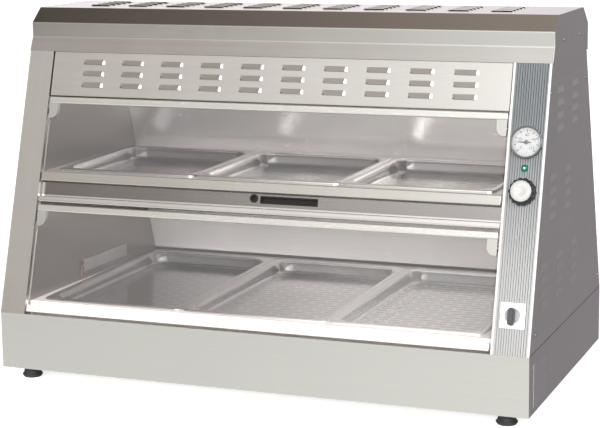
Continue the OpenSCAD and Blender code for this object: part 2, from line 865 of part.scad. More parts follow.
base_plinth();
base_floor();
left_side_panel();
right_side_panel();
left_post();
control_strip();
back_panel();
back_liner();
left_liner();
right_liner();
ceiling_liner();
louvre_panel();
hood_cover();
hood_ends();
lower_deck();
upper_deck();
mid_panel();
shelf_underpan();
upper_heaters();
lower_heaters();
heater_clips();
terminal_block();
cable_gland();
thermostat_probe();
thermometer_probe();
probe_guard();
slot_insert();
thermometer_case();
thermometer_dial();
thermometer_glass();
thermometer_needle();
pilot_lamp();
thermostat_body();
thermostat_shaft();
thermostat_knob();
knob_cap();
switch_body();
switch_plate();
switch_lever();
hinge_bushes();
upper_door_glass();
upper_door_top_rail();
upper_door_bottom_rail();
upper_door_hinge_plates();
upper_door_pins();
lower_door_glass();
lower_door_top_rail();
lower_door_bottom_rail();
lower_door_hinge_plates();
lower_door_pins();
upper_pan_left();
upper_pan_centre();
upper_pan_right();
lower_pan_left();
lower_pan_centre();
lower_pan_right();
feet();
foot_studs();
panel_screws();
rating_plate();
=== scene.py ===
# A heated two-tier food holding cabinet: satin stainless skins on a plinth, a louvred hood, two glass
# flaps, six pans and a fluted control strip. Everything is in metres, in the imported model's own frame.
import math

import bmesh
import bpy
from mathutils import Matrix, Vector


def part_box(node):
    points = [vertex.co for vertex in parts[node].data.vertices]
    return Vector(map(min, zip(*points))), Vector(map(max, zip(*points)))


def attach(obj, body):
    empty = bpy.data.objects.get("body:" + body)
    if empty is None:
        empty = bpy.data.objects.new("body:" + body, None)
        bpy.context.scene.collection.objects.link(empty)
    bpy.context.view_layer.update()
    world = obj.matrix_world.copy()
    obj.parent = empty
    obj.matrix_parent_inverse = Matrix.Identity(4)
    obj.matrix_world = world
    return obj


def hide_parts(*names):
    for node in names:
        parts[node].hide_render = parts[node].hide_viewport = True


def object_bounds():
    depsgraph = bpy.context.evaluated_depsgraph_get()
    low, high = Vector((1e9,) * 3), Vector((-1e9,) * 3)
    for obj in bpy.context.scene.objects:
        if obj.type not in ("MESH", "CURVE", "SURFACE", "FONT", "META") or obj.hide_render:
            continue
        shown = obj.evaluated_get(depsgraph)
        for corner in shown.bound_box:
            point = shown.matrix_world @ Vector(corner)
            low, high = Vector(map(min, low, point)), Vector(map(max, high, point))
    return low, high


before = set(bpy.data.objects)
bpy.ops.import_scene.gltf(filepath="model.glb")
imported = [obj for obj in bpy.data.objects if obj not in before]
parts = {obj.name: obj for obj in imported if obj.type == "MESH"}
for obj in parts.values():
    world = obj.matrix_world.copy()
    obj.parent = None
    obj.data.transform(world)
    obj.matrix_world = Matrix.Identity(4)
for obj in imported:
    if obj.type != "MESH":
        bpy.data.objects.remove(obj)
cad_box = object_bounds()


# ---------------------------------------------------------------- Camera
# Eye level a little above the hood, seen from the right of the front. The lens is long, so the
# uprights stay nearly parallel, and the small shift frames the cabinet without tilting them.
eye = Vector((1.3956, -3.5462, 1.0606))
turn = math.radians(21.63)
tip = math.radians(9.15)
roll = math.radians(-0.81)
back = Vector((math.sin(turn) * math.cos(tip), -math.cos(turn) * math.cos(tip), math.sin(tip)))
level = Vector((math.cos(turn), math.sin(turn), 0))
upright = back.cross(level)
across = level * math.cos(roll) + upright * math.sin(roll)
upward = back.cross(across)

lens = bpy.data.cameras.new("camera")
lens.sensor_width = 36
lens.lens = 106.1
lens.shift_y = -0.082
lens.clip_start = 0.1
lens.clip_end = 100
camera = bpy.data.objects.new("camera", lens)
camera.matrix_world = Matrix((across, upward, back)).transposed().to_4x4()
camera.location = eye
bpy.context.scene.collection.objects.link(camera)
bpy.context.scene.camera = camera
bpy.context.scene.view_settings.view_transform = "Standard"


# ---------------------------------------------------------------- Studio
# A pale floor under a soft surround: bright low down and at the right of the front, dimmer towards
# the left, brown and dark overhead. Flat satin sheets take their long fades from it. Two soft boxes
# light the inside.
class Wire:
    """A value on its way through a node tree. Arithmetic on it adds Math nodes."""

    def __init__(self, tree, socket):
        self.tree = tree
        self.socket = socket

    def math(self, operation, *values):
        """A Math node fed by the values, or by this value alone where none are given."""
        node = self.tree.nodes.new("ShaderNodeMath")
        node.operation = operation
        for socket, value in zip(node.inputs, values or (self,)):
            plug(self.tree, socket, value)
        return Wire(self.tree, node.outputs[0])

    def __add__(self, other):
        return self.math("ADD", self, other)

    def __sub__(self, other):
        return self.math("SUBTRACT", self, other)

    def __rsub__(self, other):
        return self.math("SUBTRACT", other, self)

    def __mul__(self, other):
        return self.math("MULTIPLY", self, other)

    def __truediv__(self, other):
        return self.math("DIVIDE", self, other)

    def __pow__(self, other):
        return self.math("POWER", self, other)

    __radd__ = __add__
    __rmul__ = __mul__

    def fade(self, start, end, first=0.0, last=1.0):
        """first below start, last above end, and a smooth change between them."""
        node = self.tree.nodes.new("ShaderNodeMapRange")
        node.interpolation_type = "SMOOTHSTEP"
        for name, value in zip(("Value", "From Min", "From Max", "To Min", "To Max"),
                               (self, start, end, first, last)):
            plug(self.tree, node.inputs[name], value)
        return Wire(self.tree, node.outputs[0])


def plug(tree, socket, value):
    """Links a wire to a socket, or sets the socket to a plain value."""
    if isinstance(value, Wire):
        tree.links.new(value.socket, socket)
    elif socket.type == "RGBA" and len(value) == 3:
        socket.default_value = (*value, 1)
    else:
        socket.default_value = value


class Tree:
    """A node tree that is filled through one method."""

    def __init__(self, tree):
        self.tree = tree

    def node(self, kind, settings=None, sockets=None, out=0):
        node = self.tree.nodes.new("ShaderNode" + kind)
        for name, value in (settings or {}).items():
            if name == "stops":
                for stop, (place, colour) in zip(stops_of(node, len(value)), value):
                    stop.position = place
                    stop.color = (*colour, 1)
            else:
                setattr(node, name, value)
        for name, value in (sockets or {}).items():
            plug(self.tree, node.inputs[name], value)
        return Wire(self.tree, node.outputs[out])

    def mix(self, first, second, share, blend="MIX"):
        """A colour between first and second."""
        return self.node("Mix", {"data_type": "RGBA", "blend_type": blend},
                         {0: share, 6: first, 7: second}, 2)

    def stretched(self, vector, factors):
        return self.node("VectorMath", {"operation": "MULTIPLY"}, {0: vector, 1: factors})


def stops_of(node, count):
    """The stops of a colour ramp, made up to the number wanted."""
    stops = node.color_ramp.elements
    while len(stops) < count:
        stops.new(1)
    return stops


def softbox(name, place, aim, size, watts, tint):
    light = bpy.data.lights.new(name, "AREA")
    light.shape = "RECTANGLE"
    light.size = size[0]
    light.size_y = size[1]
    light.energy = watts
    light.color = tint
    lamp = bpy.data.objects.new(name, light)
    lamp.location = place
    lamp.rotation_euler = (Vector(aim) - Vector(place)).to_track_quat("-Z", "Y").to_euler()
    lamp.visible_glossy = False
    bpy.context.scene.collection.objects.link(lamp)


middle = (cad_box[0] + cad_box[1]) / 2
softbox("key_light", (-1.0, -3.4, 1.5), middle, (1.2, 1.0), 90, (1, 0.99, 0.985))
softbox("fill_light", (2.2, -2.6, 1.4), middle, (1.6, 1.4), 25, (0.98, 0.99, 1))

world = bpy.data.worlds.new("studio")
world.use_nodes = True
world.node_tree.nodes.clear()
bpy.context.scene.world = world
surround = Tree(world.node_tree)
axes = surround.node("SeparateXYZ", sockets={0: surround.node("TexCoord", out="Generated")}).socket.node
east = Wire(world.node_tree, axes.outputs["X"])
north = Wire(world.node_tree, axes.outputs["Y"])
height = Wire(world.node_tree, axes.outputs["Z"])
in_front = north.fade(-0.75, 0.15, 1, 0)
to_right = east.fade(-0.47, -0.2)
low = height.fade(-0.19, -0.1, 1, 0)
lifted = height.fade(0.05, 0.3) * height.fade(0.5, 0.72, 1, 0)
side_glow = 0.28 + 0.69 * to_right + lifted * (0.22 + 0.14 * to_right)
high_lamp = east.fade(-0.14, 0.08) * height.fade(0.2, 0.38) * height.fade(0.72, 0.88, 1, 0) * 3.2
front_glow = side_glow + low * (0.86 + 0.14 * to_right - side_glow) + high_lamp
behind = east.fade(-0.42, 0.25, 1.1, 0.26) + east.fade(0.05, 0.35) * height.fade(-0.06, 0.12) * 0.16
roof = east.fade(-0.5, -0.2, 0.07, 0.36)
front_open = height.fade(0.62, 1, 1, 0)
back_open = height.fade(0.45, 0.8, 1, 0)
far_left = east.fade(-0.93, -0.82, 0.1, 1)
overhead = back_open + in_front * (front_open - back_open)
brightness = in_front * front_glow + (1 - in_front) * behind
brightness = (brightness * overhead + (1 - overhead) * roof) * far_left
front_tint = surround.mix((1, 0.93, 0.84), (1, 0.99, 0.975), to_right)
front_tint = surround.mix(front_tint, (0.985, 1, 0.955), low)
glow_tint = surround.mix((0.98, 0.91, 0.95), front_tint, in_front)
glow_tint = surround.mix((1, 0.84, 0.73), glow_tint, overhead)
seen = surround.node("LightPath", out="Is Camera Ray")
backdrop = surround.node("Background", sockets={
    "Color": surround.mix(glow_tint, (1, 1, 1), seen), "Strength": brightness + seen * (1 - brightness)})
world_out = world.node_tree.nodes.new("ShaderNodeOutputWorld")
world.node_tree.links.new(backdrop.socket, world_out.inputs["Surface"])


class Finish(Tree):
    """One surface finish: a material whose sockets are fed by name."""

    def __init__(self, name, **fixed):
        self.material = bpy.data.materials.new(name)
        self.material.use_nodes = True
        super().__init__(self.material.node_tree)
        self.shader = self.tree.nodes["Principled BSDF"]
        self.feed({key.replace("_", " ").title(): value for key, value in fixed.items()})

    def feed(self, sockets):
        for name, value in sockets.items():
            plug(self.tree, self.shader.inputs["IOR" if name == "Ior" else name], value)

    def place(self):
        """The point on the piece, in metres in the cabinet's frame."""
        return self.node("TexCoord", out="Object")

    def axis(self, spot, name):
        return self.node("SeparateXYZ", sockets={0: spot}, out=name)

    def noise(self, vector, scale, detail=3, roughness=0.55):
        return self.node("TexNoise", sockets={
            "Vector": vector, "Scale": scale, "Detail": detail, "Roughness": roughness})

    def bump(self, height, strength, distance=0.0005):
        return self.node("Bump", sockets={"Height": height, "Strength": strength, "Distance": distance})

    def over_clear(self, share):
        """Lets the finish show by a share only, and what is behind it by the rest."""
        clear = self.node("BsdfTransparent")
        surface = Wire(self.tree, self.shader.outputs[0])
        both = self.node("MixShader", sockets={0: share, 1: clear, 2: surface})
        self.tree.links.new(both.socket, self.tree.nodes["Material Output"].inputs["Surface"])


floor_finish = Finish("studio_floor", roughness=0.9)
floor_cloud = floor_finish.noise(floor_finish.place(), 3)
floor_finish.feed({
    "Base Color": floor_finish.mix((0.86, 0.86, 0.86), (0.9, 0.9, 0.9), floor_cloud),
    "Emission Color": (1, 1, 1), "Emission Strength": 0.62})
floor_mesh = bpy.data.meshes.new("studio_floor")
floor_r = 30
floor_mesh.from_pydata([(-floor_r, -floor_r, 0), (floor_r, -floor_r, 0), (floor_r, floor_r, 0),
                        (-floor_r, floor_r, 0)], [], [(0, 1, 2, 3)])
floor_mesh.materials.append(floor_finish.material)
floor = bpy.data.objects.new("studio_floor", floor_mesh)
floor.visible_glossy = False
bpy.context.scene.collection.objects.link(floor)


# ---------------------------------------------------------------- Plinth
# The plinth is one folded tray of stainless sheet, brushed level all round, with a floor plate let
# into it. A blank foil plate is stuck on its right end, where the maker's data would go.
def brushed(name, tone, grain, rough=0.3, streak=0.14, mottle=0.12, score=0.25, painted_shading=None):
    """Satin steel. The brushing runs along the axes whose grain is low. The shading function, where there
    is one, scales the colour at each spot: painted shade, and painted highlight where it goes above one."""
    steel = Finish(name, metallic=1)
    spot = steel.place()
    fine = steel.noise(steel.stretched(spot, grain), 1, 4, 0.75)
    broad = steel.noise(steel.stretched(spot, [g * 0.14 for g in grain]), 1, 3, 0.6)
    cloud = steel.noise(spot, 5, 4, 0.6)
    rubbed = steel.noise(spot, 22, 3, 0.6).fade(0.55, 0.75)
    lines = fine * 0.6 + broad * 0.4
    dark = [c * 0.86 for c in tone]
    light = [min(1, c * 1.1) for c in tone]
    colour = steel.mix(dark, light, lines * 0.75 + cloud * 0.3 - 0.02)
    if painted_shading:
        colour = steel.node("VectorMath", {"operation": "SCALE"}, {0: colour, "Scale": painted_shading(steel, spot)})
    steel.feed({
        "Base Color": colour,
        "Roughness": rough + (lines - 0.5) * streak + (cloud - 0.5) * mottle + rubbed * 0.03,
        "Normal": steel.bump(lines, score, 0.0002)})
    return steel


def keep_flats(piece):
    """Turns the shading of narrow bends, not of the wide flats they join."""
    flats = piece.modifiers.new("flats_stay_flat", "WEIGHTED_NORMAL")
    flats.mode = "FACE_AREA"
    flats.weight = 90


def dress(finish, *names, ease=0.0, steps=2, crease=35):
    """Puts a finish on CAD pieces, welds and smooths their round faces, and eases sharp edges."""
    for name in names:
        piece = parts[name]
        piece.data.materials.clear()
        piece.data.materials.append(finish.material)
        stale = piece.data.attributes.get("custom_normal")
        if stale:
            piece.data.attributes.remove(stale)
        piece.data.shade_smooth()
        weld = piece.modifiers.new("weld", "WELD")
        weld.merge_threshold = 0.00002
        if ease:
            flat = piece.modifiers.new("one_face_per_flat", "DECIMATE")
            flat.decimate_type = "DISSOLVE"
            flat.angle_limit = math.radians(1)
            edge = piece.modifiers.new("eased_edges", "BEVEL")
            edge.width = ease
            edge.segments = steps
            edge.limit_method = "ANGLE"
            edge.angle_limit = math.radians(40)
        split = piece.modifiers.new("creases", "EDGE_SPLIT")
        split.split_angle = math.radians(crease)
        split.use_edge_sharp = False
        if ease:
            keep_flats(piece)


steel_tone = (0.74, 0.73, 0.71)
level_grain = (1.5, 1.5, 900)
plinth_steel = brushed("plinth_satin_steel", steel_tone, level_grain, rough=0.22, mottle=0.06)
dress(plinth_steel, "base_plinth", ease=0.0012)
floor_steel = brushed("base_floor_steel", (0.6, 0.6, 0.59), (2, 600, 600), rough=0.4)
dress(floor_steel, "base_floor")
plate_foil = Finish("plate_foil", metallic=1, roughness=0.42)
foil_wave = plate_foil.noise(plate_foil.place(), 60, 2)
plate_foil.feed({
    "Base Color": plate_foil.mix((0.62, 0.62, 0.63), (0.78, 0.78, 0.79), foil_wave),
    "Normal": plate_foil.bump(foil_wave, 0.2)})
dress(plate_foil, "rating_plate", ease=0.0003)


# ---------------------------------------------------------------- Feet
# Black moulded rubber feet, each screwed up on a plated stud that a hexagon nut holds in the floor
# plate. They are turned shapes: a flared pad, a waist, and a collar under the plinth.
class Shape:
    """The points and faces of a piece while it is being made."""

    def __init__(self):
        self.points = []
        self.faces = []

    def skin(self, rows, closed=True, first_cap=False, last_cap=False):
        """Covers rows of points, all of one length, with faces."""
        start = len(self.points)
        count = len(rows[0])
        for row in rows:
            self.points.extend(row)
        for j in range(len(rows) - 1):
            for i in range(count if closed else count - 1):
                a = start + j * count + i
                b = start + j * count + (i + 1) % count
                self.faces.append((a, b, b + count, a + count))
        if first_cap:
            self.faces.append(tuple(range(start, start + count))[::-1])
        if last_cap:
            end = start + (len(rows) - 1) * count
            self.faces.append(tuple(range(end, end + count)))
        return self

    def turned(self, profile, at, steps=48, waves=0, wave_depth=0.0):
        """Turns a profile of (radius, height) about the axis that at() stands on. Waves cut into the
        radius, apart from rows with a third value, which stay round."""
        rows = []
        for radius, rise, *plain in profile:
            row = []
            for i in range(steps):
                a = 2 * math.pi * i / steps
                r = radius - (0 if plain else wave_depth * (0.5 - 0.5 * math.cos(waves * a)))
                row.append(at(r * math.cos(a), r * math.sin(a), rise))
            rows.append(row)
        return self.skin(rows, first_cap=True, last_cap=True)

    def finished(self, name, finish, body, slot, replaced=(), crease=35):
        """Makes the piece, gives it its finish, and fixes it to its body."""
        mesh = bpy.data.meshes.new(name)
        mesh.from_pydata(self.points, [], self.faces)
        mesh.materials.append(finish.material)
        mesh.shade_smooth()
        piece = bpy.data.objects.new(name, mesh)
        bpy.context.scene.collection.objects.link(piece)
        solid = bmesh.new()
        solid.from_mesh(mesh)
        bmesh.ops.remove_doubles(solid, verts=solid.verts, dist=1e-6)
        if all(edge.is_manifold for edge in solid.edges):
            bmesh.ops.recalc_face_normals(solid, faces=solid.faces)
        solid.to_mesh(mesh)
        solid.free()
        split = piece.modifiers.new("creases", "EDGE_SPLIT")
        split.split_angle = math.radians(crease)
        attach(piece, body)
        if replaced:
            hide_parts(*replaced)
        return piece


def moulded(name, tone, rough, texture=300, depth=0.2, spread=0.15):
    """Moulded plastic or rubber, with a fine pebbled skin and faint clouds of wear."""
    plastic = Finish(name)
    spot = plastic.place()
    pebble = plastic.noise(spot, texture, 2)
    cloud = plastic.noise(spot, 30, 3)
    plastic.feed({
        "Base Color": plastic.mix([c * (1 - spread) for c in tone],
                                  [min(1, c * (1 + spread)) for c in tone], cloud),
        "Roughness": rough + (cloud - 0.5) * 0.2,
        "Normal": plastic.bump(pebble, depth, 0.0002)})
    return plastic


foot_rubber = moulded("foot_rubber", (0.022, 0.022, 0.024), 0.6)
foot_profile = [(0.0165, 0), (0.0188, 0.0004), (0.0195, 0.0014), (0.0214, 0.004), (0.022, 0.0052),
                (0.0216, 0.0068), (0.0202, 0.0078), (0.0188, 0.0105), (0.0178, 0.014), (0.0172, 0.018),
                (0.0168, 0.0208), (0.0158, 0.0212), (0.0158, 0.0224), (0.0152, 0.0228), (0.0152, 0.025)]
foot_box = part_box("feet")
foot_r = 0.022
feet = Shape()
for side in (foot_box[0].x + foot_r, foot_box[1].x - foot_r):
    for row in (foot_box[0].y + foot_r, foot_box[1].y - foot_r):
        feet.turned(foot_profile, lambda x, y, z, c=(side, row): Vector((c[0] + x, c[1] + y, z)))
feet.finished("rubber_feet", foot_rubber, "cabinet", "foot_rubber", ["feet"])
plated = Finish("plated_steel", metallic=1)
plated_cloud = plated.noise(plated.place(), 180, 3)
plated.feed({
    "Base Color": plated.mix((0.66, 0.65, 0.62), (0.86, 0.85, 0.83), plated_cloud),
    "Roughness": 0.2 + plated_cloud * 0.16,
    "Normal": plated.bump(plated_cloud, 0.08)})
dress(plated, "foot_studs", ease=0.0003)


# ---------------------------------------------------------------- Body skins
# Two end panels, a plain post at the left of the front and the back sheet, all satin stainless.
# The post is brushed along its length, the ends and back level. The back has a row of cut vents.
side_steel = brushed("side_satin_steel", steel_tone, (900, 1.5, 900), rough=0.36)
post_steel = brushed("post_satin_steel", steel_tone, (900, 2, 2), rough=0.3)
dress(side_steel, "left_side_panel", "back_panel")
dress(post_steel, "left_post", ease=0.0009)


# ---------------------------------------------------------------- Fluted strip
# The control strip at the right of the front is pressed with flutes down its whole length and has
# a plain border on each side. The other front pieces stand on the same leaning plane.
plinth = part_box("base_plinth")
slope_h = 0.551
front_lean = math.atan2(0.170, slope_h)


def on_front(x, rise, out=0.0):
    """A point on the leaning front: x across, rise up the slope from the plinth, out of its face."""
    return Vector((x, plinth[0].y + rise * math.sin(front_lean) - out * math.cos(front_lean),
                   plinth[1].z + rise * math.cos(front_lean) + out * math.sin(front_lean)))


control_x = (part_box("switch_plate")[0].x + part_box("switch_plate")[1].x) / 2
flute_pitch = 0.005
fluted_half = 0.0335
strip_shading = (0.2, 0.64)
# The strip's colour carries painted light: painted shade towards the top and in the hollows of the flutes,
# and a painted highlight along each border.
strip_steel = Finish("fluted_strip_steel", metallic=1)
strip_spot = strip_steel.place()
strip_x = strip_steel.axis(strip_spot, "X")
shaded = strip_steel.axis(strip_spot, "Z").fade(*strip_shading)
off_middle = strip_x - control_x
across_flute = (off_middle / flute_pitch + 0.5).math("FRACT") - 0.5
hollow = across_flute.math("ABSOLUTE").fade(0.2, 0.38, 1, 0)
border = off_middle.math("ABSOLUTE").fade(fluted_half, fluted_half + 0.0012)
strip_lines = strip_steel.noise(strip_steel.stretched(strip_spot, (900, 3, 3)), 1, 4, 0.7)
strip_cloud = strip_steel.noise(strip_spot, 14, 3)
low_ridge = strip_steel.mix((0.6, 0.61, 0.61), (0.78, 0.78, 0.77), strip_lines * 0.5 + strip_cloud * 0.5)
high_ridge = strip_steel.mix((0.24, 0.262, 0.275), (0.36, 0.38, 0.39), strip_lines * 0.5 + strip_cloud * 0.5)
fluted = strip_steel.mix(strip_steel.mix(low_ridge, high_ridge, shaded),
                         strip_steel.mix((0.42, 0.43, 0.44), (0.15, 0.17, 0.185), shaded), hollow)
strip_steel.feed({
    "Base Color": strip_steel.mix(fluted, (0.95, 0.95, 0.94), border),
    "Roughness": 0.3 + strip_lines * 0.12 + strip_cloud * 0.08,
    "Normal": strip_steel.bump(strip_lines, 0.2, 0.0002)})
dress(strip_steel, "control_strip")


# ---------------------------------------------------------------- Lining
# Inside, folded stainless sheets make two bays: side walls that close in to the rear, a leaning
# back wall with a blanking plug, a ceiling, two decks with wells, and the panel between the doors.
lining_tone = (0.9, 0.865, 0.86)
# Each finish changes from its look in the lower bay to its look in the upper one over these heights
between_decks = (0.36, 0.42)
between_walls = (0.34, 0.44)
shelf_lip_top = 0.3925
lining = brushed("lining_steel", lining_tone, (3, 500, 500), rough=0.24, mottle=0.14, score=0.06)
# The lining keeps almost no metal in the lower bay so that it shows brighter there: painted light.
lining.feed({"Metallic": lining.axis(lining.place(), "Z").fade(*between_decks, 0.02, 0.75)})
# The side walls are coloured darker than the back lining, and darker again in the upper bay: painted shade.
wall_lining = brushed("wall_lining_steel", (0.58, 0.51, 0.465), (700, 3, 3), rough=0.34, mottle=0.3,
                      painted_shading=lambda steel, spot: steel.axis(spot, "Z").fade(*between_walls, 0.62, 0.42))
dress(lining, "back_liner", "ceiling_liner", "lower_deck", "upper_deck", "shelf_underpan")
dress(wall_lining, "left_liner", "right_liner")


def shelf_shade(steel, spot):
    """Painted shade on the flat of the panel between the doors, deepest at the left, above a lower lip
    that keeps its full brightness.
    """
    face = steel.axis(spot, "X").fade(-0.5, 0.3, 0.34, 0.47)
    return 1 - steel.axis(spot, "Z").fade(shelf_lip_top, shelf_lip_top + 0.002) * (1 - face)


shelf_front = brushed("shelf_front_steel", lining_tone, (3, 500, 500), rough=0.26, painted_shading=shelf_shade)
dress(shelf_front, "mid_panel", ease=0.0006)
dress(side_steel, "probe_guard")


# ---------------------------------------------------------------- Heating and wiring
# Under the wells lie hairpin heating rods on notched strips. A ceramic block takes the wires, a
# nylon gland lets the cord in at the back, and copper bulbs feel the heat, one on a capillary.
sheath = Finish("heater_sheath", metallic=1)
sheath_heat = sheath.noise(sheath.place(), 25, 4)
sheath.feed({
    "Base Color": sheath.node("ValToRGB", {"stops": [(0.3, (0.16, 0.15, 0.14)), (0.55, (0.25, 0.2, 0.16)),
                                                    (0.75, (0.2, 0.2, 0.24))]}, {0: sheath_heat}),
    "Roughness": 0.45 + sheath_heat * 0.2})
dress(sheath, "upper_heaters", "lower_heaters")
zinc = Finish("zinc_plate", metallic=1)
spangle = zinc.node("TexVoronoi", sockets={"Vector": zinc.place(), "Scale": 90})
zinc.feed({
    "Base Color": zinc.mix((0.5, 0.52, 0.54), (0.68, 0.7, 0.72), spangle),
    "Roughness": 0.4 + spangle * 0.15})
dress(zinc, "heater_clips")
dress(moulded("block_ceramic", (0.75, 0.72, 0.64), 0.35), "terminal_block", ease=0.0008)
dress(moulded("gland_nylon", (0.03, 0.03, 0.032), 0.45), "cable_gland", ease=0.0005)
copper = Finish("capillary_copper", metallic=1)
tarnish = copper.noise(copper.place(), 40, 4)
copper.feed({
    "Base Color": copper.mix((0.55, 0.27, 0.15), (0.78, 0.45, 0.3), tarnish),
    "Roughness": 0.3 + tarnish * 0.2})
dress(copper, "thermostat_probe", "thermometer_probe")
dress(moulded("slot_plastic", (0.008, 0.007, 0.007), 0.7), "slot_insert", ease=0.0004)


# ---------------------------------------------------------------- Louvred front panel
# A stainless panel above the upper door. Its louvres are lanced and pressed out of the sheet, so
# each is open along its lower edge. Its lower flange turns in and up to the ceiling.
louvre_l = 0.051
louvre_h = 0.011
louvre_rise = 0.0032
louvre_end = 0.005


def cut_lines(ends, spans, steps, bunched=False):
    """Grid lines between two ends, with each span divided into steps, or cut near its ends only."""
    cuts = {round(end, 6) for end in ends}
    for start, end in spans:
        for i in range(steps + 1):
            share = i / steps
            if bunched:
                share = (0, louvre_end / louvre_l, 1 - louvre_end / louvre_l, 1)[i]
            cuts.add(round(start + (end - start) * share, 6))
    return sorted(cuts)


def pressed_sheet(louvres, columns, rows, place, wanted=None):
    """A sheet on a grid of columns and rows, with louvres at (middle, open edge) pressed out of it.
    wanted(u, v), where there is one, says which cells the sheet has."""
    def lift(u, v, cell):
        for middle_u, edge in louvres:
            inside = abs(cell[0] - middle_u) < louvre_l / 2 and edge < cell[1] < edge + louvre_h
            if inside:
                share = min(1, abs(u - middle_u) * 2 / louvre_l)
                end_round = min(1, (1 - share) * louvre_l / 2 / louvre_end)
                return louvre_rise * end_round * (1 - (v - edge) / louvre_h)
        return 0

    sheet = Shape()
    known = {}
    for j in range(len(rows) - 1):
        for i in range(len(columns) - 1):
            cell = ((columns[i] + columns[i + 1]) / 2, (rows[j] + rows[j + 1]) / 2)
            if wanted and not wanted(*cell):
                continue
            face = []
            for p, q in ((i, j), (i + 1, j), (i + 1, j + 1), (i, j + 1)):
                up = lift(columns[p], rows[q], cell)
                key = (p, q, up > 1e-6)
                if key not in known:
                    known[key] = len(sheet.points)
                    sheet.points.append(place(columns[p], rows[q], up))
                face.append(known[key])
            sheet.faces.append(tuple(face))
    return sheet


def thick(piece, thickness):
    """Gives a sheet its thickness, inwards from the face that was drawn."""
    solid = piece.modifiers.new("sheet_thickness", "SOLIDIFY")
    solid.thickness = thickness
    solid.offset = -1
    piece.modifiers.move(len(piece.modifiers) - 1, 0)


def fold(corners, radius, steps=4):
    """The corners of a folded sheet's profile, with each inner one rounded."""
    path = [Vector(corners[0])]
    for before, corner, after in zip(corners, corners[1:], corners[2:]):
        before, corner, after = Vector(before), Vector(corner), Vector(after)
        start = corner + (before - corner).normalized() * radius
        end = corner + (after - corner).normalized() * radius
        for i in range(steps + 1):
            t = i / steps
            path.append(start * (1 - t) ** 2 + corner * 2 * t * (1 - t) + end * t ** 2)
    path.append(Vector(corners[-1]))
    return path


def lengths(path):
    """How far along the path each of its points is."""
    marks = [0.0]
    for a, b in zip(path, path[1:]):
        marks.append(marks[-1] + (b - a).length)
    return marks


def along(path, marks, distance):
    """The point and the outward normal at a distance along a folded profile."""
    k = max(i for i in range(len(marks) - 1) if marks[i] <= distance + 1e-7)
    run = (path[k + 1] - path[k]) / (marks[k + 1] - marks[k])
    return path[k] + run * (distance - marks[k]), Vector((-run.y, run.x))


panel_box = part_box("louvre_panel")
louvre_shift = 0.003
louvre_mid = (panel_box[0].x + panel_box[1].x) / 2 + louvre_shift


def middles(count, pitch):
    """The middles of a row of louvres, evenly spaced along the front."""
    return [louvre_mid + (i - (count - 1) / 2) * pitch for i in range(count)]


front_columns = 10
front_pitch = 0.093
panel_in = 0.003
panel_foot = 0.479
panel_top = 0.5806
flange_in = 0.020
flange_up = 0.014
panel_path = fold([(-flange_in, panel_foot + flange_up), (-flange_in, panel_foot), (-panel_in, panel_foot),
                   (-panel_in, panel_top)], 0.002)
panel_marks = lengths(panel_path)
panel_end = panel_marks[-1]
panel_middles = middles(front_columns, front_pitch)
panel_spans = [(x - louvre_l / 2, x + louvre_l / 2) for x in panel_middles]
panel_rows = [(panel_end - panel_top + row - louvre_h / 2, panel_end - panel_top + row + louvre_h / 2)
              for row in (0.505, 0.530, 0.555)]


def on_panel(u, v, up):
    point, normal = along(panel_path, panel_marks, v)
    return on_front(u, point.y - normal.y * up, point.x - normal.x * up)


louvre_sheet = pressed_sheet(
    [(x, row) for x in panel_middles for row, top in panel_rows],
    cut_lines((panel_box[0].x, panel_box[1].x), panel_spans, 3, True),
    sorted(set(cut_lines((0, panel_end), panel_rows, 6)) | {round(m, 6) for m in panel_marks}), on_panel)
panel_steel = brushed("louvre_panel_steel", steel_tone, (2, 700, 700), rough=0.3)
louvre_panel = louvre_sheet.finished("louvred_front_panel", panel_steel, "cabinet", "satin_steel",
                                     ["louvre_panel"], crease=8)
thick(louvre_panel, 0.0008)
keep_flats(louvre_panel)


# ---------------------------------------------------------------- Louvred right end
# The right end panel covers the wiring space. Seven groups of four pressed louvres, open downwards,
# let its air in and out, and the sheet follows the lean of the front and of the back.
end_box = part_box("right_side_panel")
end_x = plinth[1].x
end_groups = [(-0.080, 0.563), (0.050, 0.563), (-0.138, 0.393), (-0.008, 0.393), (-0.208, 0.226),
              (-0.078, 0.226), (0.052, 0.226)]
end_pitch = 0.0257
end_gap = 0.0015
end_louvres = [(y, z + i * end_pitch - louvre_h / 2) for y, z in end_groups for i in range(4)]
tab = (-0.126, 0.146)
tab_foot = end_box[1].z - 0.015
end_columns = cut_lines((end_box[0].y, end_box[1].y) + tab,
                        [(y - louvre_l / 2, y + louvre_l / 2) for y, z in end_groups], 3, True)
end_rows = cut_lines((end_box[0].z + end_gap, tab_foot, end_box[1].z),
                     [(z, z + louvre_h) for y, z in end_louvres], 5)
end_sheet = pressed_sheet(end_louvres, end_columns, end_rows, lambda y, z, up: Vector((end_x + up, y, z)),
                          lambda y, z: z < tab_foot or tab[0] < y < tab[1])
right_end = end_sheet.finished("louvred_right_end", side_steel, "cabinet", "satin_steel",
                               ["right_side_panel"], crease=8)
rear_lean = math.atan2(0.163, slope_h)
front_edge = plinth[0].y + 0.0022
rear_edge = plinth[1].y - 0.0017
trimmed = bmesh.new()
trimmed.from_mesh(right_end.data)
for edge_y, lean, way in ((front_edge, front_lean, -1), (rear_edge, rear_lean, 1)):
    bmesh.ops.bisect_plane(
        trimmed, geom=trimmed.verts[:] + trimmed.edges[:] + trimmed.faces[:], clear_outer=True,
        plane_co=(0, edge_y, plinth[1].z), plane_no=(0, way * math.cos(lean), math.sin(lean)))
trimmed.to_mesh(right_end.data)
trimmed.free()
thick(right_end, 0.0012)
keep_flats(right_end)


